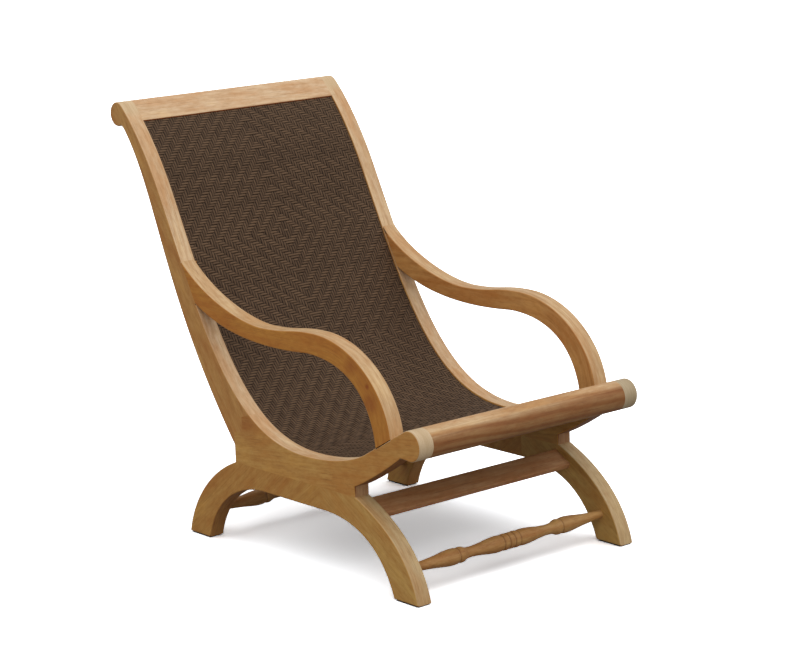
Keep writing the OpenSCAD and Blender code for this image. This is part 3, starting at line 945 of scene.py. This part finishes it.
top_batten_end = float(np.sum(steps(curve(FACE_TOP, 50, CREST_T, BATTEN_T))))
side_strip = strip(0.0, PANEL, BATTEN_NEAR, BATTEN_FAR, 160)
for side, sign in (("left", -1), ("right", 1)):
    board(f"side_batten_{side}", side_strip, sign * INNER_HALF,
          sign * (INNER_HALF - BATTEN_WIDTH), 0, batten_wood)
inside = INNER_HALF - BATTEN_WIDTH
board("top_batten", strip(0.0, top_batten_end, BATTEN_NEAR, BATTEN_FAR, 6), -inside, inside, 0,
      batten_wood_across)
board("front_batten", strip(PANEL - BATTEN_WIDTH, PANEL, BATTEN_NEAR, BATTEN_FAR, 4), -inside,
      inside, 0, batten_wood_across)

UNDER = BATTEN_FAR + 0.8  # depth of a strand drawn under a batten
WRAP_DEEP = np.array([UNDER, UNDER, UNDER - 0.3, UNDER - 2.4, BATTEN_NEAR - 1.0])


def wrap_path(first, last):
    """Places of a wrap's five points along one direction: under the batten from first to
    last, then round its edge, a little past it."""
    away = math.copysign(1.0, last - first)
    return np.array([first, last - 3 * away, last + 0.2 * away, last + 0.9 * away, last + 0.9 * away])


def wraps(name, x, s, across, pitch, seed):
    """Strands drawn round a batten at the places x and s, as deep as WRAP_DEEP says; their
    outward side is square to their own run."""
    x, s = np.broadcast_arrays(x, s)
    path = panel_point(x, s, np.broadcast_to(WRAP_DEEP, s.shape))
    sideways = np.broadcast_to([1.0, 0.0, 0.0], path.shape) if across else face_frame(s)[0]
    outward = np.cross(unit(np.gradient(path, axis=1)), sideways)
    strands(name, path, sideways, outward, WRAP_WIDTH * pitch, seed)


for side, sign in (("left", -1), ("right", 1)):
    wraps(f"weave_wraps_{side}", sign * wrap_path(INNER_HALF - 0.3, inside), ROW_AT[:, None],
          False, WEFT_PITCH, 15 + sign)
held = np.abs(COLUMN_AT) < inside - 3  # the strands along that pass clear of the side battens
for place_name, first, last in (("top", 0.4, top_batten_end),
                                ("front", PANEL - 0.4, PANEL - BATTEN_WIDTH)):
    wraps(f"weave_wraps_{place_name}", COLUMN_AT[held][:, None], wrap_path(first, last), True,
          WARP_PITCH, 21)

# ---- Foot pads -----------------------------------------------------------------------

PAD = glide_material()
PAD_HALF = 17.0
PAD_CORNER = 4.0
FOOT_CENTRE = 305.0
FRONT_FOOT, REAR_FOOT = (-526.0, -452.0), (238.0, 311.0)  # from and to along Y


def pad(name, x_centre, y0, y1):
    """A flat pad: a rectangle with quarter-round corners carried up by the pad's thickness,
    its upper edge tucked under the foot and its lower edge drawn in a little."""
    r = PAD_CORNER
    reach = PAD_HALF - r
    ring = np.concatenate([arc((x, y), r, a, a + 90, 6) for x, y, a in (
        (x_centre + reach, y1 - r, 0), (x_centre - reach, y1 - r, 90),
        (x_centre - reach, y0 + r, 180), (x_centre + reach, y0 + r, 270))])
    outward = unit(ring - np.array([x_centre, (y0 + y1) / 2]))
    levels = [(0.0, -0.6), (0.6, 0.0), (GLIDE, 0.0)]
    layers = [np.insert(ring + grow * outward, 2, z, axis=1) for z, grow in levels]
    add_piece(name, np.array(layers), PAD)


for side, centre in (("left", -FOOT_CENTRE), ("right", FOOT_CENTRE)):
    pad(f"glide_front_{side}", centre, *FRONT_FOOT)
    pad(f"glide_rear_{side}", centre, *REAR_FOOT)

# ---- Floor and light -----------------------------------------------------------------

FLOOR_HALF = 40.0


def floor_material():
    """Matt studio floor with the faintest mottling: the camera sees it near the backdrop's
    white, and it throws little light back up."""
    material, w = new_material("studio floor")
    where = w.node("ShaderNodeTexCoord").outputs["Object"]
    seen = w.mix(w.noise(where, 3.0), (2.1, 2.13, 2.17, 1.0), (2.15, 2.18, 2.22, 1.0))
    bounced = w.mix(w.noise(where, 3.0), (0.27, 0.26, 0.25, 1.0), (0.29, 0.28, 0.27, 1.0))
    colour = w.mix(w.node("ShaderNodeLightPath").outputs["Is Camera Ray"], bounced, seen)
    w.surface({"Base Color": colour, "Roughness": 0.9, "Specular IOR Level": 0.0})
    return material


floor_mesh = bpy.data.meshes.new("floor")
floor_corners = [(-FLOOR_HALF, -FLOOR_HALF, 0), (FLOOR_HALF, -FLOOR_HALF, 0),
                 (FLOOR_HALF, FLOOR_HALF, 0), (-FLOOR_HALF, FLOOR_HALF, 0)]
floor_mesh.from_pydata(floor_corners, [], [(0, 1, 2, 3)])
floor_mesh.materials.append(floor_material())
floor = new_object("floor", floor_mesh)

bpy.context.scene.view_settings.view_transform = "Standard"
world = bpy.data.worlds.new("studio")
world.use_nodes = True
sky = Wiring(world.node_tree)
seen_directly = sky.node("ShaderNodeLightPath").outputs["Is Camera Ray"]
backdrop = world.node_tree.nodes["Background"]
backdrop.inputs[0].default_value = (1.0, 1.0, 1.0, 1.0)
AMBIENT = 0.66  # strength of the surroundings for all but the camera
world.node_tree.links.new(sky.span(seen_directly, 0.0, 1.0, AMBIENT, 1.0), backdrop.inputs[1])
bpy.context.scene.world = world


def soft_sun(name, direction, spread, strength):
    """Even white light from the given direction, as from a very large softbox far away;
    spread is the angle in degrees that the box fills."""
    data = bpy.data.lights.new(name, "SUN")
    data.angle = math.radians(spread)
    data.energy = strength
    aim = unit(np.array(direction, float))
    level = unit(np.cross([0.0, 1.0, 0.0], aim))
    new_object(name, data).matrix_world = placement(level, np.cross(aim, level), aim, aim * 4)


soft_sun("overhead softbox", (-0.14, -0.5, 1.0), 100.0, 1.45)

bpy.context.view_layer.update()
